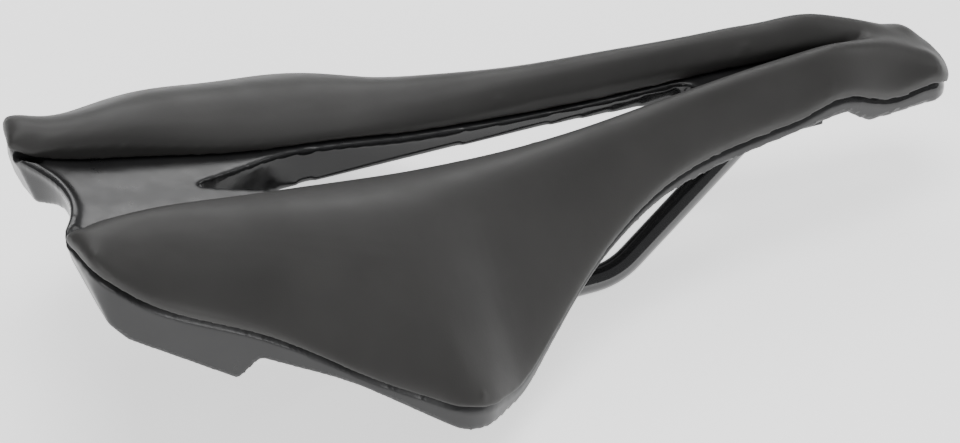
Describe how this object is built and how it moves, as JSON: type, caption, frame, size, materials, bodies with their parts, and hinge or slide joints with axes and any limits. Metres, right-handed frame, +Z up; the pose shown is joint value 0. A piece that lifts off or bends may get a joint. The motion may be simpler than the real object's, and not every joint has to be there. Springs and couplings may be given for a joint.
{
  "type": "bicycle saddle",
  "caption": "Short-nosed bicycle saddle: two padded arms round an open relief slot, moulded base, bent round rail wire with straight parallel clamp runs",
  "frame": {"origin": "midway between the two rails, at the middle of their straight clamp length, at the height of their axes", "axes": "+X forward to the nose, +Y to the rider's left, +Z up; the straight rails run along X"},
  "size_m": [0.2571, 0.1468, 0.0618],
  "materials": {
    "shell_plastic": "semi-gloss black moulded nylon, satin on the rear deck",
    "cover_skin": "smooth matte black synthetic leather",
    "foam": "closed moulded foam",
    "rail_black": "glossy black coated steel wire",
    "fitting_plastic": "matte black moulded nylon",
    "sleeve_plastic": "dark grey acetal",
    "screw_steel": "black-zinc plated steel"
  },
  "bodies": {
    "root": {"base_shell": "shell_plastic", "cover": "cover_skin", "foam_pad": "foam", "rail_wire": "rail_black", "nose_clip": "fitting_plastic", "nose_clip_screws": "screw_steel", "left_rail_sleeve": "sleeve_plastic", "right_rail_sleeve": "sleeve_plastic", "left_rail_cap": "fitting_plastic", "right_rail_cap": "fitting_plastic", "rail_cap_screws": "screw_steel"}
  },
  "joints": []
}
